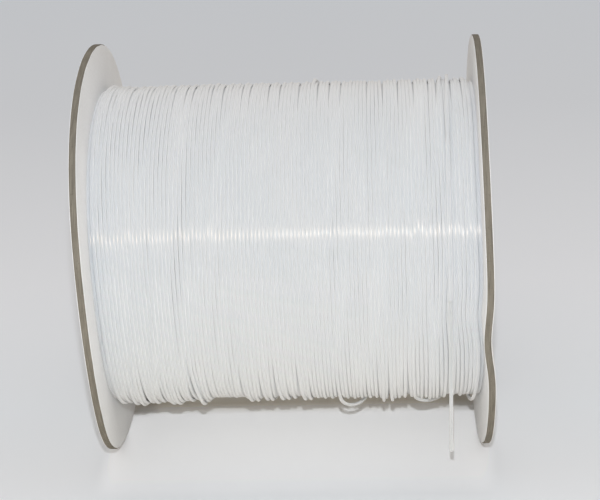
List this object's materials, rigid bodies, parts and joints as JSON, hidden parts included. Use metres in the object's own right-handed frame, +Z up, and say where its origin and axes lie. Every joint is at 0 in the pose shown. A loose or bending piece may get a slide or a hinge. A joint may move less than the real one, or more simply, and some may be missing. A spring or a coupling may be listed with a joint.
{
  "type": "filament spool",
  "caption": "Wide paper-flanged spool, fully wound with round translucent filament, its free end hanging, with plastic bushes for a spindle.",
  "frame": {"origin": "on the spindle axis, midway between the two flanges", "axes": "+X along the spindle axis from the flange with the start slot to the plain one, +Z up with the spool lying on its rims, -Y towards the side where the free end hangs"},
  "size_m": [0.1882, 0.2, 0.2],
  "materials": {
    "chipboard": "raw die-cut grey-brown edge, fibrous and matte",
    "facing_paper": "smooth white facing paper, matte",
    "core_board": "spiral-wound kraft, matte",
    "bush_plastic": "moulded, fine satin",
    "filament": "natural translucent filament, glossy"
  },
  "bodies": {
    "root": {"flange_board_left": "chipboard", "flange_board_right": "chipboard", "inner_paper_left": "facing_paper", "inner_paper_right": "facing_paper", "outer_paper_left": "facing_paper", "outer_paper_right": "facing_paper", "core_liner": "core_board", "core_tube": "core_board", "core_wrap": "core_board", "hub_bush_left": "bush_plastic", "hub_bush_right": "bush_plastic", "filament_pack": "filament", "filament_outer_turns": "filament", "filament_free_end": "filament", "filament_start_tail": "filament"}
  },
  "joints": []
}
